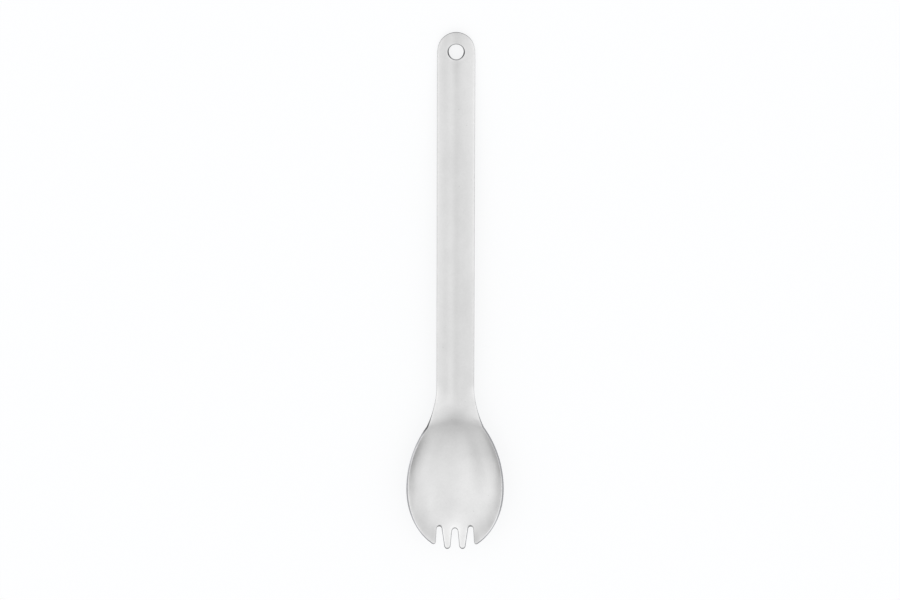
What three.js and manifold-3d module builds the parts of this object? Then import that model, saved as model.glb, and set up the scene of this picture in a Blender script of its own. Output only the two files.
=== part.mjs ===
// A long-handled spork: one blank of titanium sheet, cut to outline and pressed to shape.
// Millimetres, +Z up. It lies bowl up on a table, its handle towards +Y and its tines towards -Y.
// The blank is written flat: x runs across, y along from the bowl's widest line, w through the sheet.
import * as THREE from "three";
import { mergeVertices } from "three/addons/utils/BufferGeometryUtils.js";
import Module from "manifold-3d";

// The blank's outline
const overallLength = 214.4;
const sheetThickness = 0.9;
const handleWidth = 14.9;
const tailRounding = 8.9;
const bowlWidth = 39.1;
const tineReach = 25.4;
const ovalPastTines = 0.75;
const shoulderWidth = 23.1;
const shoulderReach = 26;
const neckReach = 42;
const bowlCurvePull = 13.8;
const neckCurvePull = 5.8;

// The hang hole in the tail
const hangHoleDiameter = 6;
const hangHoleInset = 7.9;
const hangHoleChamfer = 0.35;

// Four tines: two slim inner ones, and two outer ones that are the sides of the bowl
const centreSlotLength = 7.1;
const centreSlotRootWidth = 2.2;
const centreSlotMouthWidth = 3.76;
const innerTineRootWidth = 4.4;
const innerTineTipWidth = 2.25;
const outerSlotLength = 8.1;
const outerSlotRootWidth = 1.95;
const outerSlotMouthWidth = 3.77;
const centreRootRadius = 1.15;
const outerRootRadius = 0.95;
const innerTipRadius = 1;
const outerTipRadius = 0.7;

// The pressing: a bowl, a crowned handle and the way it lies
const bowlDepth = 10;
const dieSideMargin = 0.9;
const dieTipMargin = 1.9;
const dieNeckReach = 32.5;
const dieNeckSquareness = 2.3;
const dieTipSquareness = 2;
const wallSteepness = 2.5;
const rimBlendShare = 0.12;
const lipBlendShare = 0.4;
const lipCornerShare = 0.2;
const restFlatSink = 0.15;
const handleCrown = 3;
const crownRunout = 17;
const crownPastLip = 5.7;
const rimTilt = THREE.MathUtils.degToRad(2);
const neckRise = THREE.MathUtils.degToRad(3.4);
const neckBlend = 8;

// Cutters reach this far past what they cut
const cutOverrun = 1;
const combReach = 3.5;

// How finely curves are cut into flats
const columns = 18;
const ovalRows = 12;
const shoulderRows = 13;
const neckRows = 9;
const handleRows = 14;
const tailRows = 7;
const ovalSweep = THREE.MathUtils.degToRad(78);
const tailSweep = THREE.MathUtils.degToRad(84);
const holeFacets = 32;
const arcFacets = 7;
const slopeStep = 0.01;

const handleHalf = handleWidth / 2;
const bowlHalf = bowlWidth / 2;
const shoulderHalf = shoulderWidth / 2;
const ovalReach = tineReach + ovalPastTines;
const tailTip = overallLength - tineReach;
const tailStart = tailTip - tailRounding;

// Height of the middle of the sheet along its centre line, before the bowl is pressed into it.
// The rim leans a little, and the handle bows down until the edges of its tail are back on the table.
function unbowedHeight(y) {
  const rimHeight = sheetThickness / 2 + bowlDepth - restFlatSink;
  const pastLip = y - dieNeckReach;
  const ramp = (pastLip + Math.hypot(pastLip, neckBlend)) / 2;
  return rimHeight - Math.tan(rimTilt) * y + Math.tan(neckRise) * ramp;
}

function deckHeight(y) {
  const tailHeight = handleCrown + sheetThickness / 2;
  const bowDrop = unbowedHeight(tailStart) - tailHeight;
  const alongBow = Math.max(0, y - dieNeckReach) / (tailStart - dieNeckReach);
  return unbowedHeight(y) - bowDrop * alongBow ** 2;
}

// How far the handle's edges hang below its centre line at x. The crown runs out at the bowl's lip.
function crownDrop(x, y) {
  const runoutEnd = dieNeckReach - crownPastLip;
  const fade = THREE.MathUtils.smoothstep(y, runoutEnd, runoutEnd + crownRunout);
  return handleCrown * fade * (x / handleHalf) ** 2;
}

// Depth of the bowl as a share of its full depth: two half ovals that meet on the widest line, the one
// at the neck squarer. The edge of the pressing is tight along the sides and soft at the lip.
function bowlShare(x, y) {
  const atNeck = y > 0;
  const reach = atNeck ? dieNeckReach : ovalReach + dieTipMargin;
  const squareness = atNeck ? dieNeckSquareness : dieTipSquareness;
  const across = Math.abs(x / (bowlHalf + dieSideMargin)) ** squareness;
  const along = Math.abs(y / reach) ** squareness;
  const share = 1 - (across + along) ** (wallSteepness / squareness);
  const towardsLip = atNeck ? THREE.MathUtils.smoothstep(along - across, lipCornerShare, 1) : 0;
  const blend = THREE.MathUtils.lerp(rimBlendShare, lipBlendShare, towardsLip);
  if (share > blend) return share;
  return Math.max(0, share + blend) ** 2 / (4 * blend);
}

// Height of the middle of the sheet. The bowl's bottom is flat where it meets the table.
function sheetHeight(x, y) {
  const pressed = deckHeight(y) - crownDrop(x, y) - bowlDepth * bowlShare(x, y);
  return Math.max(pressed, sheetThickness / 2);
}

// Carries a point of the flat blank to its place in the pressed sheet, along the sheet's normal.
function press(point) {
  const { x, y, z: w } = point;
  const acrossSlope = (sheetHeight(x + slopeStep, y) - sheetHeight(x - slopeStep, y)) / (2 * slopeStep);
  const alongSlope = (sheetHeight(x, y + slopeStep) - sheetHeight(x, y - slopeStep)) / (2 * slopeStep);
  const normal = new THREE.Vector3(-acrossSlope, -alongSlope, 1).normalize();
  return point.set(x, y, sheetHeight(x, y)).addScaledVector(normal, w);
}

// Moves every vertex of a geometry by a function of its place.
function moveVertices(geometry, move) {
  const positions = geometry.getAttribute("position");
  const point = new THREE.Vector3();
  for (let i = 0; i < positions.count; i++) {
    move(point.fromBufferAttribute(positions, i));
    positions.setXYZ(i, point.x, point.y, point.z);
  }
  return geometry;
}

// The outline as stations along the blank, each with half the width there, from the tines to the tail.
function outlineStations() {
  const stations = [];
  for (let i = 0; i <= ovalRows; i++) {
    const angle = ovalSweep * (1 - i / ovalRows);
    stations.push({ y: -ovalReach * Math.sin(angle), half: bowlHalf * Math.cos(angle) });
  }
  const widest = new THREE.Vector2(bowlHalf, 0);
  const bowlPull = new THREE.Vector2(bowlHalf, bowlCurvePull);
  const shoulder = new THREE.Vector2(shoulderHalf, shoulderReach);
  const neckPull = new THREE.Vector2(handleHalf, neckReach - neckCurvePull);
  const handleStart = new THREE.Vector2(handleHalf, neckReach);
  const bowlSide = new THREE.QuadraticBezierCurve(widest, bowlPull, shoulder).getPoints(shoulderRows);
  const neckSide = new THREE.QuadraticBezierCurve(shoulder, neckPull, handleStart).getPoints(neckRows);
  for (const point of [...bowlSide.slice(1), ...neckSide.slice(1)]) {
    stations.push({ y: point.y, half: point.x });
  }
  for (let i = 1; i <= handleRows; i++) {
    stations.push({ y: THREE.MathUtils.lerp(neckReach, tailStart, i / handleRows), half: handleHalf });
  }
  for (let i = 1; i <= tailRows; i++) {
    const angle = (tailSweep * i) / tailRows;
    const rounding = (tailRounding * Math.sin(angle)) / Math.sin(tailSweep);
    stations.push({ y: tailStart + rounding, half: handleHalf * Math.cos(angle) });
  }
  return stations;
}

// The blank as a closed slab whose rows follow the outline, still without its slots and hole.
function blankSlab() {
  const stations = outlineStations();
  const rows = stations.length - 1;
  const slab = new THREE.BoxGeometry(2, rows, 1, columns, rows, 1);
  return moveVertices(slab, (point) => {
    const { y, half } = stations[Math.round(point.y + rows / 2)];
    const across = (point.x + Math.sin((point.x * Math.PI) / 2)) / 2;
    point.set(across * half, y, point.z * sheetThickness);
  });
}

// A closed shape whose corners are rounded, each no further than half way along its sides.
function roundedShape(corners) {
  const shape = new THREE.Shape();
  corners.forEach(({ x, y, radius }, i) => {
    const corner = new THREE.Vector2(x, y);
    const before = corners[(i + corners.length - 1) % corners.length];
    const after = corners[(i + 1) % corners.length];
    const back = new THREE.Vector2(before.x, before.y).sub(corner);
    const forward = new THREE.Vector2(after.x, after.y).sub(corner);
    const room = Math.min(back.length(), forward.length()) / 2;
    const halfAngle = Math.acos(back.normalize().dot(forward.normalize())) / 2;
    const fillet = Math.min(radius, room * Math.tan(halfAngle));
    const setback = fillet / Math.tan(halfAngle);
    const inward = back.clone().add(forward).normalize();
    const centre = corner.clone().addScaledVector(inward, fillet / Math.sin(halfAngle));
    const start = corner.clone().addScaledVector(back, setback);
    const end = corner.clone().addScaledVector(forward, setback);
    if (fillet === 0) {
      shape.lineTo(x, y);
      return;
    }
    const startAngle = start.sub(centre).angle();
    const endAngle = end.sub(centre).angle();
    const clockwise = back.cross(forward) > 0;
    shape.absarc(centre.x, centre.y, fillet, startAngle, endAngle, clockwise);
  });
  return shape;
}

// What is cut away between and beyond the tines, as one comb. Only the right half is written.
function combCutter() {
  const outerTineX = (centreSlotMouthWidth / 2) + innerTineTipWidth + outerSlotMouthWidth;
  const ovalShare = Math.sqrt(1 - (outerTineX / bowlHalf) ** 2);
  const outerTip = { x: outerTineX, y: -ovalReach * ovalShare };
  const outlineSlope = (ovalReach * outerTineX) / (bowlHalf ** 2 * ovalShare);
  const outside = outerTineX + combReach;
  const rightHalf = [
    { x: centreSlotRootWidth / 2, y: centreSlotLength - tineReach, radius: centreRootRadius },
    { x: centreSlotMouthWidth / 2, y: -tineReach, radius: innerTipRadius },
    { x: centreSlotMouthWidth / 2 + innerTineTipWidth, y: -tineReach, radius: innerTipRadius },
    {
      x: centreSlotRootWidth / 2 + innerTineRootWidth,
      y: outerSlotLength - tineReach,
      radius: outerRootRadius,
    },
    {
      x: centreSlotRootWidth / 2 + innerTineRootWidth + outerSlotRootWidth,
      y: outerSlotLength - tineReach,
      radius: outerRootRadius,
    },
    { ...outerTip, radius: outerTipRadius },
    { x: outside, y: outerTip.y + outlineSlope * combReach, radius: 0 },
    { x: outside, y: -ovalReach - cutOverrun, radius: 0 },
  ];
  const leftHalf = rightHalf.map((corner) => ({ ...corner, x: -corner.x })).reverse();
  const comb = new THREE.ExtrudeGeometry(roundedShape([...rightHalf, ...leftHalf]), {
    depth: 2 * combReach,
    bevelEnabled: false,
    curveSegments: arcFacets,
  });
  return comb.translate(0, 0, -combReach);
}

// The hole's punch, with a chamfer at each face of the sheet.
function holeCutter() {
  const radius = hangHoleDiameter / 2;
  const wallHalf = sheetThickness / 2 - hangHoleChamfer;
  const top = sheetThickness / 2 + cutOverrun;
  const mouth = radius + top - wallHalf;
  const profile = [
    new THREE.Vector2(0, -top),
    new THREE.Vector2(mouth, -top),
    new THREE.Vector2(radius, -wallHalf),
    new THREE.Vector2(radius, wallHalf),
    new THREE.Vector2(mouth, top),
    new THREE.Vector2(0, top),
  ];
  const punch = new THREE.LatheGeometry(profile, holeFacets).rotateX(Math.PI / 2);
  return punch.translate(0, tailTip - hangHoleInset, 0);
}

// Presses a closed geometry of the flat blank and makes it a solid that can be cut.
function pressedSolid(wasm, geometry) {
  geometry.deleteAttribute("normal");
  geometry.deleteAttribute("uv");
  const merged = mergeVertices(moveVertices(geometry, press), slopeStep);
  return new wasm.Manifold(
    new wasm.Mesh({
      numProp: 3,
      vertProperties: merged.getAttribute("position").array,
      triVerts: new Uint32Array(merged.index.array),
    }),
  );
}

function toGeometry(solid) {
  const mesh = solid.getMesh();
  const geometry = new THREE.BufferGeometry();
  geometry.setAttribute("position", new THREE.BufferAttribute(mesh.vertProperties, 3));
  geometry.setIndex(new THREE.BufferAttribute(mesh.triVerts, 1));
  return geometry;
}

const wasm = await Module();
wasm.setup();

const sheet = pressedSolid(wasm, blankSlab())
  .subtract(pressedSolid(wasm, combCutter()))
  .subtract(pressedSolid(wasm, holeCutter()));
const sporkGeometry = toGeometry(sheet);

// The origin is the middle of the ground that the spork covers, on the table.
sporkGeometry.computeBoundingBox();
const middle = sporkGeometry.boundingBox.getCenter(new THREE.Vector3());
sporkGeometry.translate(-middle.x, -middle.y, -sporkGeometry.boundingBox.min.z);
sporkGeometry.computeVertexNormals();

const titanium = new THREE.MeshStandardMaterial({ color: 0xc6c6c4, roughness: 0.42, metalness: 1 });
const pressedBody = new THREE.Mesh(sporkGeometry, titanium);
pressedBody.name = "pressed_titanium_body";

const spork = new THREE.Group();
spork.add(pressedBody);

export default spork;
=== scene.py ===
"""Looks of a long-handled spork: one pressed sheet of blasted titanium, lying bowl up on a pale floor.

Metres, +Z up, handle towards +Y. The sheet is drawn flat, its cut edges are rounded, it is divided into
a fine grid, and then every vertex is pressed by the same die as the solid that it stands for.
"""
import logging
import math
from dataclasses import dataclass, field, replace
from enum import Enum, IntEnum

import bmesh
import bpy
from bmesh.types import BMEdge, BMesh, BMVert
from bpy.types import Material, Mesh, Node, NodeSocket, NodeTree, Object
from mathutils import Matrix, Vector
from mathutils.geometry import interpolate_bezier
from mathutils.kdtree import KDTree


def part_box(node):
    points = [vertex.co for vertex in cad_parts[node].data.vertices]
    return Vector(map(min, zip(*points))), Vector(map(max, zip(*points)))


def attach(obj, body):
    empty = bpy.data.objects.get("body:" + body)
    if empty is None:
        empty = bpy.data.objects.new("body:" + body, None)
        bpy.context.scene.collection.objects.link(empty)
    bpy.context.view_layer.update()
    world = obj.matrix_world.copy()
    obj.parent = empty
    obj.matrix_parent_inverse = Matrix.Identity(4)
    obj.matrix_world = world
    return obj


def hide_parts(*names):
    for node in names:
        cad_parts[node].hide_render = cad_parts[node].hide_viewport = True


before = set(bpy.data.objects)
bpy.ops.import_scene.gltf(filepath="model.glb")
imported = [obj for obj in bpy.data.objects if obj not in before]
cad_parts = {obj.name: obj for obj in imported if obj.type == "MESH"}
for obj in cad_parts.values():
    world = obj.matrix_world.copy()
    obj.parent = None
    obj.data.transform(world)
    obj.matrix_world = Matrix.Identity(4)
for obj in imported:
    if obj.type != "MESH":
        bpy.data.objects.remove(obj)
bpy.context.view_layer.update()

log = logging.getLogger("long_handled_spork")

MM = 0.001
BODY_NODE = "pressed_titanium_body"
EDGE_NEARNESS = "edge_nearness"
PAINTED_LIGHT_TONE = "painted_light_tone"
NUMBER_SOCKET = "NodeSocketFloat"
VECTOR_SOCKET = "NodeSocketVector"


class SheetFace(IntEnum):
    """Which finish a face of the sheet takes: the place of its material on the mesh."""

    BLASTED = 0
    CUT_EDGE = 1


class MixKind(Enum):
    """What a Mix node mixes, with the places of its two inputs and of its output."""

    FLOAT = (2, 3, 0)
    RGBA = (6, 7, 2)


def smooth_step(share: float) -> float:
    """Eases from 0 to 1 as the share does, level at both ends and beyond them."""
    share = min(1.0, max(0.0, share))
    return share * share * (3 - 2 * share)


def soft_max(first: float, second: float, blend: float) -> float:
    """The larger of two lengths, with a rounded bend instead of a kink where they cross."""
    return (first + second + math.hypot(first - second, blend)) / 2


@dataclass(frozen=True)
class Corner:
    """A corner of the flat outline, and how far along its sides its rounding starts."""

    x: float
    y: float
    setback: float


@dataclass(frozen=True)
class Tines:
    """Three slots between four tines: two slim inner tines, and two outer ones that end the bowl's sides."""

    centre_slot_length: float = 7.1 * MM
    centre_slot_root_width: float = 2.2 * MM
    centre_slot_mouth_width: float = 3.76 * MM
    inner_tine_root_width: float = 4.4 * MM
    inner_tine_tip_width: float = 2.25 * MM
    outer_slot_length: float = 8.1 * MM
    outer_slot_root_width: float = 1.95 * MM
    outer_slot_mouth_width: float = 3.77 * MM
    centre_root_setback: float = 1.06 * MM
    outer_root_setback: float = 0.86 * MM
    inner_tip_setback: float = 1.04 * MM
    outer_tip_setback: float = 1.4 * MM

    @property
    def outer_tine_x(self) -> float:
        """Half the distance between the two outer tines' tips."""
        return self.centre_slot_mouth_width / 2 + self.inner_tine_tip_width + self.outer_slot_mouth_width

    @property
    def outer_slot_x(self) -> float:
        """Where the middle of the outer slot's root lies across the sheet."""
        return (self.centre_slot_root_width + self.outer_slot_root_width) / 2 + self.inner_tine_root_width

    def corners(self, tine_reach: float, outer_tip_y: float) -> list[Corner]:
        """Gives the right half's corners, from the centre slot out to the outer tine's tip.

        Args:
            tine_reach: How far the inner tines reach from the bowl's widest line.
            outer_tip_y: Where the outer tine's tip lies along the sheet.

        Returns:
            The corners in order.
        """
        inner_root = self.centre_slot_root_width / 2
        inner_tip = self.centre_slot_mouth_width / 2
        outer_root = inner_root + self.inner_tine_root_width
        outer_slot_root = self.outer_slot_length - tine_reach
        return [
            Corner(inner_root, self.centre_slot_length - tine_reach, self.centre_root_setback),
            Corner(inner_tip, -tine_reach, self.inner_tip_setback),
            Corner(inner_tip + self.inner_tine_tip_width, -tine_reach, self.inner_tip_setback),
            Corner(outer_root, outer_slot_root, self.outer_root_setback),
            Corner(outer_root + self.outer_slot_root_width, outer_slot_root, self.outer_root_setback),
            Corner(self.outer_tine_x, outer_tip_y, self.outer_tip_setback),
        ]


@dataclass(frozen=True)
class HangHole:
    """The hole in the tail."""

    diameter: float = 6 * MM
    inset: float = 7.9 * MM
    edge_round: float = 0.38 * MM
    half_turn_steps: int = 40

    @property
    def radius(self) -> float:
        """Half its diameter."""
        return self.diameter / 2

    @property
    def reach(self) -> float:
        """A third of the way from its edge to the tail's tip: within it lies only the hole's own edge."""
        return (self.diameter + self.inset) / 3

    def right_half(self, centre_y: float) -> list[tuple[float, float]]:
        """Its right half round a centre on the centre line, from its end next to the tail's tip."""
        angles = [math.pi * step / self.half_turn_steps for step in range(self.half_turn_steps + 1)]
        return [(self.radius * math.sin(a), centre_y + self.radius * math.cos(a)) for a in angles]


@dataclass(frozen=True)
class Blank:
    """The flat sheet: y runs from the bowl's widest line towards the tail, x across."""

    overall_length: float = 214.4 * MM
    sheet_thickness: float = 0.9 * MM
    handle_width: float = 14.9 * MM
    tail_rounding: float = 8.9 * MM
    bowl_width: float = 39.1 * MM
    tine_reach: float = 25.4 * MM
    oval_past_tines: float = 0.75 * MM
    shoulder_width: float = 23.1 * MM
    shoulder_reach: float = 26 * MM
    neck_reach: float = 42 * MM
    bowl_curve_pull: float = 13.8 * MM
    neck_curve_pull: float = 5.8 * MM
    curve_pull_share: float = 2 / 3
    edge_round: float = 0.38 * MM
    oval_steps: int = 14
    shoulder_steps: int = 26
    neck_steps: int = 18
    tail_steps: int = 40
    tines: Tines = Tines()
    hole: HangHole = HangHole()

    @property
    def handle_half(self) -> float:
        """Half the handle's width."""
        return self.handle_width / 2

    @property
    def bowl_half(self) -> float:
        """Half the bowl's width."""
        return self.bowl_width / 2

    @property
    def oval_reach(self) -> float:
        """How far the bowl's oval would reach past its widest line if nothing were cut away."""
        return self.tine_reach + self.oval_past_tines

    @property
    def tip_angle(self) -> float:
        """Where the outer tine's tip lies on the bowl's oval, as an angle from its widest line."""
        return math.acos(self.tines.outer_tine_x / self.bowl_half)

    @property
    def tail_tip(self) -> float:
        """The far end of the tail."""
        return self.overall_length - self.tine_reach

    @property
    def tail_start(self) -> float:
        """Where the handle's straight sides end."""
        return self.tail_tip - self.tail_rounding

    @property
    def hole_centre(self) -> float:
        """Where the hang hole's centre lies along the sheet."""
        return self.tail_tip - self.hole.inset

    def oval_side(self) -> list[tuple[float, float]]:
        """The bowl's side, from just past the outer tine's tip to its widest line."""
        angles = [self.tip_angle * (1 - step / self.oval_steps) for step in range(1, self.oval_steps + 1)]
        return [(self.bowl_half * math.cos(a), -self.oval_reach * math.sin(a)) for a in angles]

    def flare(self) -> list[tuple[float, float]]:
        """Runs from the bowl's widest line over the shoulder to the handle.

        Returns:
            The points of that side, without the one on the widest line.
        """
        widest = Vector((self.bowl_half, 0))
        shoulder = Vector((self.shoulder_width / 2, self.shoulder_reach))
        handle_start = Vector((self.handle_half, self.neck_reach))
        bowl_pull = Vector((self.bowl_half, self.bowl_curve_pull))
        neck_pull = Vector((self.handle_half, self.neck_reach - self.neck_curve_pull))
        bowl_side = self.bend(widest, bowl_pull, shoulder, self.shoulder_steps)
        return bowl_side + self.bend(shoulder, neck_pull, handle_start, self.neck_steps)

    def bend(self, start: Vector, pull: Vector, end: Vector, steps: int) -> list[tuple[float, float]]:
        """Runs a curve that one point pulls outwards.

        Args:
            start: Where it starts.
            pull: The point that both of its ends head for.
            end: Where it ends.
            steps: How many straight steps it has.

        Returns:
            Its points, without the first.
        """
        start_knob = start.lerp(pull, self.curve_pull_share)
        end_knob = end.lerp(pull, self.curve_pull_share)
        knots = interpolate_bezier(start, start_knob, end_knob, end, steps + 1)
        return [(knot.x, knot.y) for knot in knots[1:]]

    def tail(self) -> list[tuple[float, float]]:
        """The tail's quarter of an ellipse, from the handle's side to the centre line."""
        angles = [math.pi / 2 * step / self.tail_steps for step in range(self.tail_steps + 1)]
        return [
            (self.handle_half * math.cos(a), self.tail_start + self.tail_rounding * math.sin(a))
            for a in angles
        ]

    def tine_corners(self) -> list[Corner]:
        """The corners of the tines on the right half."""
        return self.tines.corners(self.tine_reach, -self.oval_reach * math.sin(self.tip_angle))


@dataclass(frozen=True)
class Die:
    """The pressing: a bowl, a crowned handle and the way that the spork lies on a table."""

    bowl_depth: float = 10 * MM
    side_margin: float = 0.9 * MM
    tip_margin: float = 1.9 * MM
    neck_reach: float = 32.5 * MM
    neck_squareness: float = 2.3
    tip_squareness: float = 2.0
    wall_steepness: float = 2.5
    rim_blend_share: float = 0.12
    lip_blend_share: float = 0.4
    lip_corner_share: float = 0.2
    rest_flat_sink: float = 0.15 * MM
    flat_ease: float = 0.2 * MM
    handle_crown: float = 3 * MM
    crown_runout: float = 17 * MM
    crown_past_lip: float = 5.7 * MM
    rim_tilt: float = math.radians(2)
    neck_rise: float = math.radians(3.4)
    neck_blend: float = 8 * MM
    slope_steps: int = 90
    blank: Blank = Blank()

    def unbowed_height(self, y: float) -> float:
        """Height of the centre line before the handle bows and the bowl is pressed.

        Args:
            y: The place along the flat sheet.

        Returns:
            The height over the table.
        """
        rim_height = self.blank.sheet_thickness / 2 + self.bowl_depth - self.rest_flat_sink
        ramp = soft_max(y - self.neck_reach, 0, self.neck_blend)
        return rim_height - math.tan(self.rim_tilt) * y + math.tan(self.neck_rise) * ramp

    def deck_height(self, y: float) -> float:
        """Height of the centre line with the handle's bow, which brings the tail back to the table.

        Args:
            y: The place along the flat sheet.

        Returns:
            The height over the table.
        """
        tail_start = self.blank.tail_start
        tail_height = self.handle_crown + self.blank.sheet_thickness / 2
        bow_drop = self.unbowed_height(tail_start) - tail_height
        along_bow = max(0.0, y - self.neck_reach) / (tail_start - self.neck_reach)
        return self.unbowed_height(y) - bow_drop * along_bow ** 2

    def crown_drop(self, x: float, y: float) -> float:
        """How far the crowned handle hangs below its centre line at x."""
        fade = smooth_step((y - self.neck_reach + self.crown_past_lip) / self.crown_runout)
        return self.handle_crown * fade * (x / self.blank.handle_half) ** 2

    def bowl_share(self, x: float, y: float) -> float:
        """How deep the bowl is, with a tight edge at its sides and a soft one at its lip.

        Args:
            x: The place across the flat sheet.
            y: The place along it, from the bowl's widest line.

        Returns:
            The depth there as a share of the full depth.
        """
        at_neck = y > 0
        reach = self.neck_reach if at_neck else self.blank.oval_reach + self.tip_margin
        squareness = self.neck_squareness if at_neck else self.tip_squareness
        across = abs(x / (self.blank.bowl_half + self.side_margin)) ** squareness
        along = abs(y / reach) ** squareness
        share = 1 - (across + along) ** (self.wall_steepness / squareness)
        past_corner = (along - across - self.lip_corner_share) / (1 - self.lip_corner_share)
        ease = smooth_step(past_corner) if at_neck else 0.0
        blend = self.rim_blend_share + (self.lip_blend_share - self.rim_blend_share) * ease
        if share > blend:
            return share
        return max(0.0, share + blend) ** 2 / (4 * blend)

    def sheet_height(self, x: float, y: float) -> float:
        """Height of the middle of the sheet. The bowl's bottom eases into the flat that meets the table."""
        pressed = self.deck_height(y) - self.crown_drop(x, y) - self.bowl_depth * self.bowl_share(x, y)
        return soft_max(pressed, self.blank.sheet_thickness / 2, self.flat_ease)

    def press(self, point: Vector) -> Vector:
        """Carries a point of the flat sheet to its place in the pressed one.

        Args:
            point: x across, y along, z through the sheet from its middle.

        Returns:
            The place that it is pressed to, along the pressed sheet's normal.
        """
        step = self.blank.sheet_thickness / self.slope_steps
        x, y = point.x, point.y
        across = (self.sheet_height(x + step, y) - self.sheet_height(x - step, y)) / (2 * step)
        along = (self.sheet_height(x, y + step) - self.sheet_height(x, y - step)) / (2 * step)
        normal = Vector((-across, -along, 1)).normalized()
        return Vector((x, y, self.sheet_height(x, y))) + normal * point.z


@dataclass(frozen=True)
class Noise:
    """How fine a noise texture is, in cells per metre, and how its smaller steps are mixed in."""

    per_metre: float | NodeSocket
    detail: float
    roughness: float


class NodeBook:
    """Shorthand for laying out a node tree."""

    def __init__(self, tree: NodeTree) -> None:
        """Starts with an emptied tree."""
        self.tree = tree
        tree.nodes.clear()

    def add(self, kind: str, **settings: object) -> Node:
        """Adds a node.

        Args:
            kind: The node's type name.
            settings: Its properties by name.

        Returns:
            The node.
        """
        node = self.tree.nodes.new(kind)
        for name, value in settings.items():
            setattr(node, name, value)
        return node

    def feed(self, node: Node, **inputs: object) -> Node:
        """Sets or links a node's inputs.

        Args:
            node: The node.
            inputs: A value or a socket for each input, named with underscores for spaces.

        Returns:
            The same node.
        """
        for name, value in inputs.items():
            self.plug(node.inputs[name.replace("_", " ")], value)
        return node

    def plug(self, socket: NodeSocket, value: object) -> None:
        """Links a socket to another, or sets its value.

        Args:
            socket: The input.
            value: The output that it takes its value from, or the value.
        """
        if isinstance(value, NodeSocket):
            self.tree.links.new(value, socket)
        else:
            socket.default_value = value

    def maths(self, operation: str, *values: object) -> NodeSocket:
        """Adds a Math node.

        Args:
            operation: What it works out.
            values: Its inputs in order, each a number or a socket.

        Returns:
            Its output.
        """
        node = self.add("ShaderNodeMath", operation=operation)
        for socket, value in zip(node.inputs, values):
            self.plug(socket, value)
        return node.outputs[0]

    def mix(self, kind: MixKind, share: NodeSocket, first: object, second: object) -> NodeSocket:
        """Adds a Mix node.

        Args:
            kind: What it mixes.
            share: How much of the second input shows.
            first: What shows where the share is 0.
            second: What shows where the share is 1.

        Returns:
            Its output.
        """
        node = self.add("ShaderNodeMix", data_type=kind.name)
        first_place, second_place, output_place = kind.value
        self.plug(node.inputs[0], share)
        self.plug(node.inputs[first_place], first)
        self.plug(node.inputs[second_place], second)
        return node.outputs[output_place]

    def noise(self, place: NodeSocket, noise: Noise) -> NodeSocket:
        """Adds a Noise texture.

        Args:
            place: Where it is looked up.
            noise: How fine it is.

        Returns:
            Its factor.
        """
        node = self.add("ShaderNodeTexNoise")
        self.feed(node, Vector=place, Scale=noise.per_metre, Detail=noise.detail, Roughness=noise.roughness)
        return node.outputs[0]

    def ease(self, value: NodeSocket, start: float, end: float) -> NodeSocket:
        """Rises softly from 0, where the value is start, to 1, where it is end."""
        node = self.add("ShaderNodeMapRange", interpolation_type="SMOOTHSTEP")
        return self.feed(node, Value=value, From_Min=start, From_Max=end).outputs[0]

    def bell(self, distance: NodeSocket, reach: float) -> NodeSocket:
        """Falls from 1 at no distance to next to nothing at twice the reach."""
        squares = self.maths("POWER", distance, 2)
        return self.maths("EXPONENT", self.maths("MULTIPLY", squares, -1 / reach ** 2))

    def mesh_number(self, name: str) -> NodeSocket:
        """Reads a number that the mesh carries at its vertices."""
        return self.add("ShaderNodeAttribute", attribute_name=name).outputs["Fac"]


class SharedNodes:
    """A node group that every finish of the sheet uses."""

    def __init__(self, name: str, entries: dict[str, str], results: tuple[str, ...]) -> None:
        """Starts the group, with its sockets and nothing between them.

        Args:
            name: The group's name.
            entries: What goes in, each with the type name of its socket.
            results: The names of the numbers that come out.
        """
        self.group = bpy.data.node_groups.new(name, "ShaderNodeTree")
        ports = self.group.interface
        for entry, kind in entries.items():
            ports.new_socket(entry, in_out="INPUT", socket_type=kind)
        for result in results:
            ports.new_socket(result, in_out="OUTPUT", socket_type=NUMBER_SOCKET)
        self.book = NodeBook(self.group)
        self.entry = self.book.add("NodeGroupInput").outputs

    def give(self, **results: NodeSocket) -> None:
        """Links what comes out."""
        self.book.feed(self.book.add("NodeGroupOutput"), **results)

    def place(self, book: NodeBook, **inputs: object) -> Node:
        """Puts the group into a material, with its inputs set or linked."""
        return book.feed(book.add("ShaderNodeGroup", node_tree=self.group), **inputs)


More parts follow.
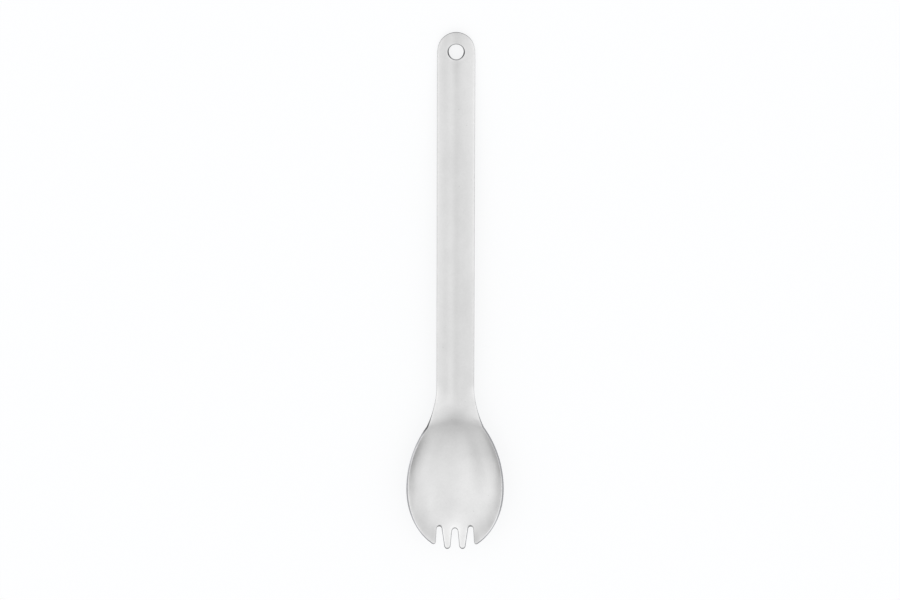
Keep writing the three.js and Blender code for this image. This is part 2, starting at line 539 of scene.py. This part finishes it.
class BlastedGrain(SharedNodes):
    """The fine grain that bead blasting leaves, its soft mottle, and the sheet's slight waves."""

    GRAIN_DETAIL = 3.0
    GRAIN_ROUGHNESS = 0.6
    DIMPLE_SMOOTHNESS = 0.6
    DIMPLE_SHARE = 0.5
    CLOUDS = Noise(per_metre=260, detail=4, roughness=0.62)
    PATCHES = Noise(per_metre=70, detail=2, roughness=0.5)
    SALT = Noise(per_metre=1300, detail=2, roughness=0.6)
    WAVES = Noise(per_metre=75, detail=0, roughness=0.5)
    PATCH_SHARE = 0.8
    SALT_SHARE = 0.9
    MEAN_MOTTLE = (1 + PATCH_SHARE) / 2

    def __init__(self) -> None:
        """Builds the group: a place and a grain size go in, a height, a mottle and waves come out."""
        entries = {"Place": VECTOR_SOCKET, "Grains per metre": NUMBER_SOCKET}
        super().__init__("blasted_grain", entries, ("Height", "Mottle", "Waves"))
        book, place, per_metre = self.book, self.entry["Place"], self.entry["Grains per metre"]
        fine = book.noise(place, Noise(per_metre, self.GRAIN_DETAIL, self.GRAIN_ROUGHNESS))
        dimples = book.add("ShaderNodeTexVoronoi", feature="SMOOTH_F1")
        book.feed(dimples, Vector=place, Scale=per_metre, Smoothness=self.DIMPLE_SMOOTHNESS)
        height = book.maths("MULTIPLY_ADD", dimples.outputs["Distance"], self.DIMPLE_SHARE, fine)
        clouds, patches = book.noise(place, self.CLOUDS), book.noise(place, self.PATCHES)
        mottle = book.maths("MULTIPLY_ADD", patches, self.PATCH_SHARE, clouds)
        salt = book.noise(place, self.SALT)
        centred_salt = book.maths("MULTIPLY_ADD", salt, self.SALT_SHARE, -self.SALT_SHARE / 2)
        mottle = book.maths("ADD", mottle, centred_salt)
        self.give(Height=height, Mottle=mottle, Waves=book.noise(place, self.WAVES))


class HandlingWear(SharedNodes):
    """Rubbing near the cut edges and faint specks, where sheet ware is handled."""

    BREAKUP = Noise(per_metre=900, detail=3, roughness=0.6)
    RUB_GAIN = 2.2
    RUB_SOFTNESS = 0.2
    SPECK_CELLS_PER_METRE = 180.0
    SPECK_CORE = 0.02
    SPECK_EDGE = 0.05

    def __init__(self) -> None:
        """Builds the group: a place and nearness to an edge go in, masks of the rubs and specks come out."""
        entries = {"Place": VECTOR_SOCKET, "Nearness": NUMBER_SOCKET}
        super().__init__("handling_wear", entries, ("Rub", "Specks"))
        book, place = self.book, self.entry["Place"]
        worn = book.maths("MULTIPLY", book.noise(place, self.BREAKUP), self.entry["Nearness"])
        rub = book.maths("SMOOTH_MIN", book.maths("MULTIPLY", worn, self.RUB_GAIN), 1, self.RUB_SOFTNESS)
        cells = book.add("ShaderNodeTexVoronoi", feature="F1")
        book.feed(cells, Vector=place, Scale=self.SPECK_CELLS_PER_METRE)
        clear = book.ease(cells.outputs["Distance"], self.SPECK_CORE, self.SPECK_EDGE)
        self.give(Rub=rub, Specks=book.maths("SUBTRACT", 1, clear))


@dataclass(frozen=True)
class TitaniumFinish:
    """One finish of the titanium sheet."""

    name: str
    colour: tuple[float, float, float]
    rubbed_colour: tuple[float, float, float]
    roughness: float
    rubbed_roughness: float
    tone_swing: float
    grains_per_metre: float
    grain_depth: float
    matte_from: float
    matte_blend: float = 14 * MM
    matte_dulling: float = 0.06
    matte_roughening: float = 0.02
    # Painted shade: a darker line along the handle's crown.
    crown_painted_shade: float = 0.05
    crown_half_width: float = 1.4 * MM
    roughness_swing: float = 0.08
    speck_dulling: float = 0.2
    wave_depth: float = 0.3 * MM

    def material(self, grain: BlastedGrain, wear: HandlingWear) -> Material:
        """Builds the finish.

        Args:
            grain: The shared blasting grain.
            wear: The shared handling wear.

        Returns:
            The material.
        """
        made = bpy.data.materials.new(self.name)
        made.use_nodes = True
        book = NodeBook(made.node_tree)
        place = book.add("ShaderNodeTexCoord").outputs["Object"]
        grains = grain.place(book, Place=place, Grains_per_metre=self.grains_per_metre).outputs
        rubs = wear.place(book, Place=place, Nearness=book.mesh_number(EDGE_NEARNESS)).outputs
        spot = book.feed(book.add("ShaderNodeSeparateXYZ"), Vector=place).outputs
        matte = self.matte_share(book, spot["Y"])
        light = self.light(book, grains["Mottle"], rubs["Specks"], self.dulling(book, spot["X"], matte))
        shader = book.add("ShaderNodeBsdfPrincipled")
        book.feed(
            shader, Metallic=1.0, Base_Color=self.tone(book, rubs["Rub"], light),
            Roughness=self.sheen(book, grains["Mottle"], rubs["Rub"], matte),
            Normal=self.relief(book, grains["Height"], grains["Waves"]),
        )
        book.feed(book.add("ShaderNodeOutputMaterial"), Surface=shader.outputs[0])
        return made

    def matte_share(self, book: NodeBook, along: NodeSocket) -> NodeSocket:
        """How matt the sheet is: the bowl is blasted finer than the handle, and they meet at the neck."""
        return book.ease(along, self.matte_from, self.matte_from + self.matte_blend)

    def dulling(self, book: NodeBook, across: NodeSocket, matte: NodeSocket) -> NodeSocket:
        """How much duller the handle is than the bowl, with a line of painted shade along its crown."""
        crown = book.maths("MULTIPLY", book.bell(across, self.crown_half_width), self.crown_painted_shade)
        return book.maths("MULTIPLY", matte, book.maths("ADD", crown, self.matte_dulling))

    @staticmethod
    def mottled(book: NodeBook, mottle: NodeSocket, level: float, swing: float) -> NodeSocket:
        """Lets the mottle swing a level up and down."""
        return book.maths("MULTIPLY_ADD", mottle, swing, level - swing * BlastedGrain.MEAN_MOTTLE)

    def light(
        self, book: NodeBook, mottle: NodeSocket, specks: NodeSocket, dulling: NodeSocket,
    ) -> NodeSocket:
        """Works out how light the metal is, beside its colour.

        Args:
            book: The tree to add nodes to.
            mottle: The blasting's mottle.
            specks: The mask of the specks.
            dulling: How much duller the place is, painted shade along the handle's crown included.

        Returns:
            The factor on the colour, with the painted shade and highlights that the mesh carries for marks
            and streaks.
        """
        light = self.mottled(book, mottle, 1, self.tone_swing)
        light = book.maths("MULTIPLY", light, book.maths("SUBTRACT", 1, dulling))
        # The painted shade and highlights that the mesh carries.
        light = book.maths("MULTIPLY", light, book.mesh_number(PAINTED_LIGHT_TONE))
        return book.maths("MULTIPLY", light, book.maths("MULTIPLY_ADD", specks, -self.speck_dulling, 1))

    def tone(self, book: NodeBook, rub: NodeSocket, light: NodeSocket) -> NodeSocket:
        """Works out the metal's colour, which is lighter where it is rubbed.

        Args:
            book: The tree to add nodes to.
            rub: The mask of the rubbing.
            light: How light the metal is, beside its colour.

        Returns:
            The colour.
        """
        metal = book.mix(MixKind.RGBA, rub, (*self.colour, 1), (*self.rubbed_colour, 1))
        toned = book.add("ShaderNodeVectorMath", operation="SCALE")
        book.plug(toned.inputs[0], metal)
        book.plug(toned.inputs["Scale"], light)
        return toned.outputs[0]

    def sheen(self, book: NodeBook, mottle: NodeSocket, rub: NodeSocket, matte: NodeSocket) -> NodeSocket:
        """Works out the roughness: uneven from the blasting, more on the handle, less where it is rubbed.

        Args:
            book: The tree to add nodes to.
            mottle: The blasting's mottle.
            rub: The mask of the rubbing.
            matte: How matt the sheet is.

        Returns:
            The roughness.
        """
        blasted = self.mottled(book, mottle, self.roughness, self.roughness_swing)
        blasted = book.maths("MULTIPLY_ADD", matte, self.matte_roughening, blasted)
        return book.mix(MixKind.FLOAT, rub, blasted, self.rubbed_roughness)

    def relief(self, book: NodeBook, grain: NodeSocket, waves: NodeSocket) -> NodeSocket:
        """Raises the grain and the waves.

        Args:
            book: The tree to add nodes to.
            grain: The grain's height.
            waves: The waves' height.

        Returns:
            The normal.
        """
        height = book.maths("MULTIPLY", grain, self.grain_depth)
        height = book.maths("MULTIPLY_ADD", waves, self.wave_depth, height)
        bump = book.add("ShaderNodeBump")
        return book.feed(bump, Strength=1.0, Distance=1.0, Height=height).outputs[0]


@dataclass(frozen=True)
class PaintedLightStreak:
    """A soft lengthwise streak of the flat sheet: painted shade where its gain is below 0, a painted
    highlight where it is above, standing in for a reflection.
    """

    x: float
    y: float
    half_width: float
    half_length: float
    gain: float
    lean: float = 0.0

    def shade(self, x: float, y: float) -> float:
        """How the streak's painted shade or highlight scales the metal's colour.

        Args:
            x: The place across the flat sheet.
            y: The place along it, from the bowl's widest line.

        Returns:
            1 where the streak doesn't reach, less where it paints shade and more where it paints a
            highlight.
        """
        along = y - self.y
        across = (x - self.x - self.lean * along) / self.half_width
        return 1 + self.gain * math.exp(-across ** 2 - (along / self.half_length) ** 2)


def streak(
    x: float, y: float, half_width: float, half_length: float, gain: float, lean: float = 0,
) -> PaintedLightStreak:
    """Turns a streak's place and size from millimetres into the script's metres."""
    return PaintedLightStreak(x * MM, y * MM, half_width * MM, half_length * MM, gain, lean)


@dataclass(frozen=True)
class PaintedLightByRegion:
    """The streaks of painted shade and painted highlights on the sheet, standing in for reflections of the
    surroundings, region by region.
    """

    bowl: tuple[PaintedLightStreak, ...] = (
        streak(3.4, 0, 2.6, 11, gain=0.05, lean=0.18),
        streak(8.6, 13, 2.2, 8, gain=-0.05, lean=-0.34),
        streak(-1.6, 10, 3.5, 7, gain=-0.04),
        streak(3.6, 18.5, 2, 3.5, gain=0.045),
        streak(-13, 20, 2.5, 3.5, gain=-0.075),
        streak(-10.5, -8, 3, 7, gain=0.055),
        streak(11.7, -9.5, 3.5, 6, gain=0.055),
        streak(-3, -11.5, 3, 4, gain=-0.035),
    )
    rim: tuple[PaintedLightStreak, ...] = (
        streak(-14.2, -2, 2.2, 6, gain=-0.08),
        streak(-15.8, 3.5, 1.3, 4, gain=0.06),
        streak(-18.8, -2, 0.9, 4, gain=0.09),
        streak(16.4, 7.4, 1.5, 7, gain=0.09),
        streak(15, 13.5, 1.8, 3.5, gain=0.06),
        streak(17.3, -6.5, 2, 4, gain=-0.09),
        streak(14.6, -14.7, 1.5, 3, gain=-0.07),
    )
    tines: tuple[PaintedLightStreak, ...] = (
        streak(0, -16.8, 5, 3, gain=0.04),
        streak(8, -21.5, 2.2, 4, gain=-0.22),
        streak(11.5, -17, 2, 3, gain=-0.09),
        streak(-8.2, -20.5, 2, 3.5, gain=-0.12),
    )
    lip: tuple[PaintedLightStreak, ...] = (
        streak(0.6, 27.3, 1.6, 2, gain=-0.045),
        streak(0, 29.5, 2.2, 2.8, gain=-0.06),
        streak(9.8, 29.5, 1.5, 3, gain=-0.05),
        streak(-1.5, 33, 4, 2, gain=0.05),
        streak(-8.1, 33.5, 1.2, 3, gain=-0.04),
        streak(4.7, 35.3, 3, 2, gain=-0.03),
    )
    neck: tuple[PaintedLightStreak, ...] = (
        streak(2, 37.7, 3.5, 3, gain=-0.05),
        streak(-7, 37.3, 1.6, 3.5, gain=0.08),
        streak(6.8, 38.8, 1.5, 4, gain=0.05),
        streak(-1.7, 44, 1.4, 7, gain=0.03),
        streak(4.9, 45.5, 2, 5, gain=-0.035),
        streak(-3, 54.5, 2.2, 6, gain=0.03),
    )
    handle: tuple[PaintedLightStreak, ...] = (
        streak(-2.2, 76, 2, 30, gain=0.022),
        streak(6.5, 66, 1.8, 22, gain=-0.04),
        streak(3.9, 79, 2.2, 9, gain=-0.04),
        streak(-2, 98, 3, 5, gain=-0.025),
        streak(-7.2, 112, 0.8, 35, gain=-0.03),
        streak(-3, 137, 2.6, 6, gain=-0.04),
    )
    tail: tuple[PaintedLightStreak, ...] = (
        streak(5, 168, 2.8, 26, gain=0.055),
        streak(-4.4, 174, 2.2, 16, gain=-0.05),
        streak(0, 175.5, 1.6, 5, gain=-0.06),
        streak(-2, 186, 6, 3, gain=-0.03),
    )

    def streaks(self) -> tuple[PaintedLightStreak, ...]:
        """All of the streaks."""
        return self.bowl + self.rim + self.tines + self.lip + self.neck + self.handle + self.tail


@dataclass(frozen=True)
class PaintedEdgeLight:
    """Painted shade or a painted highlight on a stretch of edge, darker or brighter than the rest.

    It is strongest at its place on the flat sheet, fades along the edge by its reach and inland by its
    spread, and one that spares the edge lies only on the sheet's flat sides next to it.
    """

    x: float
    y: float
    reach: float
    spread: float
    tone: float
    spares_edge: bool = False

    def shade(self, x: float, y: float, gap: float) -> float:
        """How the mark's painted shade or highlight scales the metal's colour.

        Args:
            x: The place across the flat sheet.
            y: The place along it, from the bowl's widest line.
            gap: How far that is from the nearest cut edge.

        Returns:
            1 where the mark doesn't reach, and towards its tone where it does.
        """
        if self.spares_edge and gap == 0:
            return 1.0
        apart = math.hypot(x - self.x, y - self.y) / self.reach
        inland = max(0.0, 1 - gap / self.spread)
        return 1 - (1 - self.tone) * inland * math.exp(-apart ** 2)


@dataclass(frozen=True)
class PaintedEdgeLighting:
    """The painted shade and painted highlights along the sheet's edge, region by region."""

    blank: Blank
    line_spread: float = 0.1 * MM
    highlight_tone: float = 1.6
    hole_side_share: float = 0.95
    hole_drop_share: float = 0.25

    def marks(self) -> list[PaintedEdgeLight]:
        """All of the marks."""
        return [*self.rim(), *self.tines(), *self.tail()]

    @staticmethod
    def both_sides(mark: PaintedEdgeLight) -> tuple[PaintedEdgeLight, PaintedEdgeLight]:
        """A mark and its mirror image across the spork."""
        return mark, replace(mark, x=-mark.x)

    @staticmethod
    def band(x: float, y: float, reach: float, spread: float, tone: float) -> PaintedEdgeLight:
        """A band of painted shade next to the edge, which spares the edge itself."""
        return PaintedEdgeLight(x, y, reach, spread, tone, spares_edge=True)

    def line(self, x: float, y: float, reach: float, tone: float) -> PaintedEdgeLight:
        """A line of painted light on the edge itself: shade below a tone of 1, a highlight above it."""
        return PaintedEdgeLight(x, y, reach, self.line_spread, tone)

    def rim(self) -> list[PaintedEdgeLight]:
        """Painted shade in bands inside the bowl's rim, painted highlights along it, and painted shade on
        its left shoulder.
        """
        return [
            *self.both_sides(self.band(x=18 * MM, y=14 * MM, reach=8 * MM, spread=2.6 * MM, tone=0.78)),
            self.band(x=19.2 * MM, y=9 * MM, reach=4 * MM, spread=1.5 * MM, tone=0.86),
            self.band(x=14.5 * MM, y=22.5 * MM, reach=4.5 * MM, spread=2 * MM, tone=0.82),
            self.band(x=-17.5 * MM, y=11 * MM, reach=5 * MM, spread=2.6 * MM, tone=0.9),
            *self.both_sides(self.line(x=15 * MM, y=-15 * MM, reach=7 * MM, tone=self.highlight_tone)),
            self.line(x=-17.5 * MM, y=14 * MM, reach=8 * MM, tone=self.highlight_tone),
            self.line(x=-13 * MM, y=22.3 * MM, reach=2.2 * MM, tone=self.highlight_tone),
            self.line(x=-10.8 * MM, y=26 * MM, reach=4.8 * MM, tone=0.35),
        ]

    def tines(self) -> list[PaintedEdgeLight]:
        """Paints shadow into the slots' roots, highlights on the inner tines' flanks and shade on their
        tips.

        Returns:
            The marks.
        """
        tines, tips_y = self.blank.tines, -self.blank.tine_reach
        root_x, root_y = tines.outer_slot_x, tips_y + tines.outer_slot_length
        centre_root_y = tips_y + tines.centre_slot_length
        return [
            PaintedEdgeLight(x=0, y=centre_root_y, reach=0.9 * MM, spread=0.3 * MM, tone=0.6),
            *self.both_sides(PaintedEdgeLight(x=root_x, y=root_y, reach=0.9 * MM, spread=0.5 * MM, tone=0.03)),
            *self.both_sides(self.line(x=5.2 * MM, y=-21.5 * MM, reach=3.2 * MM, tone=1.4)),
            *self.both_sides(PaintedEdgeLight(x=3 * MM, y=tips_y, reach=1.2 * MM, spread=0.25 * MM, tone=0.7)),
        ]

    def tail(self) -> list[PaintedEdgeLight]:
        """Paints shade on the hang hole's sides and on the tail's tip.

        Returns:
            The marks.
        """
        blank, radius = self.blank, self.blank.hole.radius
        side_x = self.hole_side_share * radius
        side_y = blank.hole_centre - self.hole_drop_share * radius
        return [
            *self.both_sides(self.line(x=side_x, y=side_y, reach=1.9 * MM, tone=0.25)),
            PaintedEdgeLight(x=0, y=blank.tail_tip, reach=5 * MM, spread=1.3 * MM, tone=0.82),
        ]


@dataclass
class PressedSpork:
    """The spork's one piece: the sheet, cut to outline, rounded at its edges and pressed."""

    blank: Blank = field(default_factory=Blank)
    die: Die = field(default_factory=Die)
    # Streaks of painted shade and painted highlights, baked into the sheet's colour.
    blasting: PaintedLightByRegion = field(default_factory=PaintedLightByRegion)
    shape: BMesh = field(default_factory=bmesh.new)
    rub_width: float = 1.1 * MM
    flat_lean: float = 0.5
    wall_lean: float = 0.9
    # Most of the hang hole's rounding takes the dark cut-edge finish: painted shade around the hole's rim.
    hole_wall_lean: float = 0.985
    round_profile: float = 0.5
    bowl_pitch: float = 0.5 * MM
    handle_pitch: float = 1 * MM
    corner_segments: int = 8
    edge_segments: int = 6
    merge_gap: float = 0.001 * MM

    def build(self) -> Object:
        """Models the piece and gives it its finishes.

        Returns:
            The finished object, in the frame of the solid that it stands for.
        """
        self.draw_half()
        self.round_corners()
        self.make_slab()
        self.round_edges()
        self.divide()
        self.mark_wear_and_paint_light()
        self.press()
        mesh = bpy.data.meshes.new("pressed_sheet")
        self.shape.to_mesh(mesh)
        self.shape.free()
        self.settle(mesh)
        self.dress(mesh)
        piece = bpy.data.objects.new("pressed_sheet", mesh)
        bpy.context.scene.collection.objects.link(piece)
        return piece

    def draw_half(self) -> None:
        """Draws the right half of the flat outline as one face, with the hole and a slot as notches."""
        blank = self.blank
        corners = [(corner.x, corner.y) for corner in blank.tine_corners()]
        start = (0.0, corners[0][1])
        points = [start, *corners, *blank.oval_side(), *blank.flare(), *blank.tail()[:-1]]
        points += [(0.0, blank.tail_tip), *blank.hole.right_half(blank.hole_centre)]
        level = -blank.sheet_thickness / 2
        self.shape.faces.new([self.shape.verts.new((x, y, level)) for x, y in points])

    def round_corners(self) -> None:
        """Rounds the tines' tips and the slots' roots."""
        for corner in self.blank.tine_corners():
            spot = Vector((corner.x, corner.y, -self.blank.sheet_thickness / 2))
            nearest = min(self.shape.verts, key=lambda vert: (vert.co - spot).length_squared)
            bmesh.ops.bevel(
                self.shape, geom=[nearest], offset=corner.setback, offset_type="OFFSET", affect="VERTICES",
                segments=self.corner_segments, profile=self.round_profile, clamp_overlap=True, material=-1,
            )

    def make_slab(self) -> None:
        """Mirrors the half and gives the sheet its thickness."""
        everything = [*self.shape.verts, *self.shape.edges, *self.shape.faces]
        bmesh.ops.mirror(self.shape, geom=everything, axis="X", merge_dist=self.merge_gap)
        bmesh.ops.recalc_face_normals(self.shape, faces=self.shape.faces[:])
        made = bmesh.ops.extrude_face_region(self.shape, geom=self.shape.faces[:])["geom"]
        top = [item for item in made if isinstance(item, BMVert)]
        bmesh.ops.translate(self.shape, verts=top, vec=(0, 0, self.blank.sheet_thickness))
        bmesh.ops.recalc_face_normals(self.shape, faces=self.shape.faces[:])

    def round_edges(self) -> None:
        """Rounds the sharp edges that blanking leaves, at the hang hole and then everywhere else."""
        sharp = [edge for edge in self.shape.edges if self.is_rim(edge)]
        at_hole = [edge for edge in sharp if self.is_at_hole(edge.verts[0])]
        elsewhere = [edge for edge in sharp if not self.is_at_hole(edge.verts[0])]
        for edges, radius in ((at_hole, self.blank.hole.edge_round), (elsewhere, self.blank.edge_round)):
            bmesh.ops.bevel(
                self.shape, geom=edges, offset=radius, offset_type="OFFSET", affect="EDGES",
                segments=self.edge_segments, profile=self.round_profile, clamp_overlap=False, material=-1,
            )

    def is_rim(self, edge: BMEdge) -> bool:
        """Whether an edge lies between the sheet's flat side and its cut wall."""
        flat = [abs(face.normal.z) > self.flat_lean for face in edge.link_faces]
        return len(flat) == 2 and flat[0] != flat[1]

    def is_at_hole(self, vert: BMVert) -> bool:
        """Whether a vertex of the flat slab belongs to the hang hole."""
        return (vert.co.xy - Vector((0, self.blank.hole_centre))).length < self.blank.hole.reach

    def divide(self) -> None:
        """Cuts the slab into a grid that is finer in the bowl than along the handle."""
        blank = self.blank
        columns = int(blank.bowl_half / self.bowl_pitch)
        across = [self.bowl_pitch * i for i in range(-columns, columns + 1) if i]
        bowl_rows = int((blank.oval_reach + blank.neck_reach) / self.bowl_pitch)
        along = [self.bowl_pitch * i - blank.oval_reach for i in range(1, bowl_rows)]
        handle_rows = int((blank.tail_tip - blank.neck_reach) / self.handle_pitch)
        along += [blank.neck_reach + self.handle_pitch * i for i in range(handle_rows)]
        planes = [((place, 0, 0), (1, 0, 0)) for place in across]
        planes += [((0, place, 0), (0, 1, 0)) for place in along]
        for place, direction in planes:
            bmesh.ops.bisect_plane(
                self.shape, geom=[*self.shape.verts, *self.shape.edges, *self.shape.faces],
                dist=self.merge_gap, plane_co=place, plane_no=direction,
            )

    def mark_wear_and_paint_light(self) -> None:
        """Writes at each vertex how near the cut edge is, for the wear, and the painted shade and highlights
        of the marks and streaks.
        """
        nearness = self.shape.verts.layers.float.new(EDGE_NEARNESS)
        tone = self.shape.verts.layers.float.new(PAINTED_LIGHT_TONE)
        cut_verts = self.find_cut_edge()
        tree = KDTree(len(cut_verts))
        for index, vert in enumerate(cut_verts):
            tree.insert((vert.co.x, vert.co.y, 0), index)
        tree.balance()
        marks = PaintedEdgeLighting(self.blank).marks()
        streaks = self.blasting.streaks()
        for vert in self.shape.verts:
            x, y = vert.co.xy
            gap = 0.0 if vert in cut_verts else tree.find((x, y, 0))[2]
            vert[nearness] = max(0.0, 1 - gap / self.rub_width)
            # Painted shade and highlights of the edge marks and the streaks go into the colour.
            marked = math.prod(mark.shade(x, y, gap) for mark in marks)
            vert[tone] = marked * math.prod(each.shade(x, y) for each in streaks)

    def find_cut_edge(self) -> set[BMVert]:
        """Gives the faces of the cut edge their own darker finish, partly painted shade, and most of the
        hang hole's rounding takes it too.

        Returns:
            The vertices of those faces.
        """
        cut_verts = set()
        for face in self.shape.faces:
            face.smooth = True
            lean = self.hole_wall_lean if self.is_at_hole(face.verts[0]) else self.wall_lean
            if abs(face.normal.z) < lean:
                face.material_index = SheetFace.CUT_EDGE
                cut_verts.update(face.verts)
        return cut_verts

    def press(self) -> None:
        """Presses every vertex of the flat slab by the die."""
        for vert in self.shape.verts:
            vert.co = self.die.press(vert.co)
        bmesh.ops.recalc_face_normals(self.shape, faces=self.shape.faces[:])

    @staticmethod
    def settle(mesh: Mesh) -> None:
        """Moves the mesh to where the solid lies: centred on the ground that it covers, on the table.

        Args:
            mesh: The pressed sheet.
        """
        low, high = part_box(BODY_NODE)
        xs, ys, zs = zip(*(vert.co for vert in mesh.vertices))
        shift = Vector((
            (low.x + high.x - min(xs) - max(xs)) / 2,
            (low.y + high.y - min(ys) - max(ys)) / 2,
            low.z - min(zs),
        ))
        mesh.transform(Matrix.Translation(shift))

    def dress(self, mesh: Mesh) -> None:
        """Gives the mesh its two finishes.

        Args:
            mesh: The pressed sheet, in its place.
        """
        grain, wear = BlastedGrain(), HandlingWear()
        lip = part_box(BODY_NODE)[0].y + self.blank.tine_reach + self.die.neck_reach
        blasted = TitaniumFinish(
            name="blasted_titanium", colour=(0.6, 0.598, 0.597), rubbed_colour=(0.65, 0.648, 0.647),
            roughness=0.315, rubbed_roughness=0.3, tone_swing=0.11, grains_per_metre=4200,
            grain_depth=0.01 * MM, matte_from=lip,
        )
        # The cut edge is darker than the blasted faces partly as bare cut metal and partly as painted shade
        # for the dark reflections along the outline.
        cut_edge = TitaniumFinish(
            name="cut_edge_titanium", colour=(0.25, 0.25, 0.26), rubbed_colour=(0.29, 0.29, 0.3),
            roughness=0.33, rubbed_roughness=0.3, tone_swing=0.1, grains_per_metre=5200,
            grain_depth=0.006 * MM, matte_from=lip,
        )
        mesh.materials.append(blasted.material(grain, wear))
        mesh.materials.append(cut_edge.material(grain, wear))


@dataclass(frozen=True)
class SoftPatch:
    """A brighter or darker patch of the surroundings, placed by the direction that it lies in."""

    name: str
    towards: tuple[float, float, float]
    reach: float
    gain: float

    def shade(self, book: NodeBook, way: NodeSocket, level: NodeSocket) -> NodeSocket:
        """Brightens or darkens the level near the patch.

        Args:
            book: The tree to add nodes to.
            way: The direction that the light comes from.
            level: The light's level without the patch.

        Returns:
            The level with the patch.
        """
        apart = book.add("ShaderNodeVectorMath", operation="DISTANCE", label=self.name)
        book.plug(apart.inputs[0], way)
        book.plug(apart.inputs[1], Vector(self.towards).normalized())
        fade = book.bell(apart.outputs["Value"], self.reach)
        return book.maths("MULTIPLY", level, book.maths("MULTIPLY_ADD", fade, self.gain, 1))


@dataclass
class PaleStudio:
    """The pale floor, the soft light from all round and the camera at the photograph's angle."""

    floor_radius: float = 9.0
    floor_sides: int = 96
    floor_gap: float = 0.02 * MM
    floor_colour: tuple[float, float, float] = (0.15, 0.15, 0.152)
    floor_roughness: float = 0.7
    glow_colour: tuple[float, float, float] = (0.99, 0.995, 1)
    glow_level: float = 0.81
    light_colour: tuple[float, float, float] = (0.995, 0.998, 1)
    light_level: float = 1.31
    backdrop_level: float = 0.97
    view_tilt: float = math.radians(17)
    view_roll: float = math.radians(0.14)
    view_distance: float = 2.306
    view_limit: float = 100.0
    lens_mm: float = 230.0
    aim: tuple[float, float, float] = (-2.22 * MM, -2.9 * MM, 5 * MM)
    patches: tuple[SoftPatch, ...] = (
        SoftPatch("shade under the tines", towards=(0, -1, 0.1), reach=0.6, gain=-0.4),
        SoftPatch("left flag", towards=(-0.86, -0.51, -0.02), reach=0.25, gain=-1),
        SoftPatch("right flag", towards=(0.86, -0.51, -0.02), reach=0.25, gain=-1),
        SoftPatch("left lamp", towards=(-0.95, -0.28, 0.2), reach=0.28, gain=0.5),
        SoftPatch("right lamp", towards=(0.95, -0.28, 0.2), reach=0.28, gain=0.45),
        SoftPatch("left shade at the tail", towards=(-0.95, 0.25, 0.05), reach=0.35, gain=-0.4),
        SoftPatch("right shade at the tail", towards=(0.9, 0.3, 0.3), reach=0.4, gain=-0.22),
        SoftPatch("lamp over the tail", towards=(0, 0.65, 0.75), reach=0.3, gain=0.25),
        SoftPatch("stand at the left", towards=(-0.55, -0.55, 0.6), reach=0.35, gain=-0.2),
        SoftPatch("stand at the right", towards=(0.45, -0.65, 0.6), reach=0.25, gain=-0.1),
        SoftPatch("lamp overhead", towards=(-0.4, -0.25, 0.9), reach=0.3, gain=0.13),
        SoftPatch("shade overhead", towards=(0.15, 0.1, 1), reach=0.35, gain=-0.07),
    )

    def build(self) -> None:
        """Builds the floor, the light and the camera."""
        self.make_floor()
        self.make_light()
        self.make_camera()
        bpy.context.scene.view_settings.view_transform = "Standard"

    def make_floor(self) -> None:
        """Lays a wide matt floor just under the spork."""
        shape = bmesh.new()
        bmesh.ops.create_circle(shape, cap_ends=True, segments=self.floor_sides, radius=self.floor_radius)
        bmesh.ops.translate(shape, verts=shape.verts[:], vec=(0, 0, -self.floor_gap))
        mesh = bpy.data.meshes.new("floor")
        shape.to_mesh(mesh)
        shape.free()
        floor = bpy.data.objects.new("floor", mesh)
        bpy.context.scene.collection.objects.link(floor)
        mesh.materials.append(self.floor_material())

    def floor_material(self) -> Material:
        """Makes milky acrylic over a light table, so that hardly any shadow shows.

        Returns:
            The material.
        """
        made = bpy.data.materials.new("pale_floor")
        made.use_nodes = True
        inputs = made.node_tree.nodes["Principled BSDF"].inputs
        inputs["Base Color"].default_value = (*self.floor_colour, 1)
        inputs["Emission Color"].default_value = (*self.glow_colour, 1)
        inputs["Emission Strength"].default_value = self.glow_level
        inputs["Roughness"].default_value = self.floor_roughness
        inputs["Specular IOR Level"].default_value = 0.0
        return made

    def make_light(self) -> None:
        """Lights the scene from all round with softly shaded patches, in front of a plain backdrop."""
        world = bpy.data.worlds.new("soft_light")
        bpy.context.scene.world = world
        world.use_nodes = True
        book = NodeBook(world.node_tree)
        way = book.add("ShaderNodeTexCoord").outputs["Generated"]
        level = book.add("ShaderNodeValue").outputs[0]
        level.default_value = self.light_level
        for patch in self.patches:
            level = patch.shade(book, way, level)
        straight = book.add("ShaderNodeLightPath").outputs["Is Camera Ray"]
        seen = book.mix(MixKind.FLOAT, straight, level, self.backdrop_level)
        shine = book.add("ShaderNodeBackground")
        book.feed(shine, Color=(*self.light_colour, 1), Strength=seen)
        book.feed(book.add("ShaderNodeOutputWorld"), Surface=shine.outputs[0])

    def make_camera(self) -> None:
        """Looks down on the spork from the tail's side of straight above, with the tail up in the frame."""
        data = bpy.data.cameras.new("camera")
        data.lens = self.lens_mm
        data.clip_end = self.view_limit
        camera = bpy.data.objects.new("camera", data)
        bpy.context.scene.collection.objects.link(camera)
        turn = Matrix.Rotation(-self.view_tilt, 4, "X") @ Matrix.Rotation(self.view_roll, 4, "Z")
        back = turn @ Vector((0, 0, 1))
        camera.matrix_world = Matrix.Translation(Vector(self.aim) + back * self.view_distance) @ turn
        bpy.context.scene.camera = camera


def main() -> None:
    """Builds the spork, then what it is shown in."""
    logging.basicConfig(level=logging.INFO, format="%(name)s: %(message)s")
    piece = PressedSpork().build()
    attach(piece, "root")
    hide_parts(BODY_NODE)
    log.info("%s: %d faces", piece.name, len(piece.data.polygons))
    PaleStudio().build()
    log.info("floor, light and camera are in place")


if __name__ == "__main__":
    main()
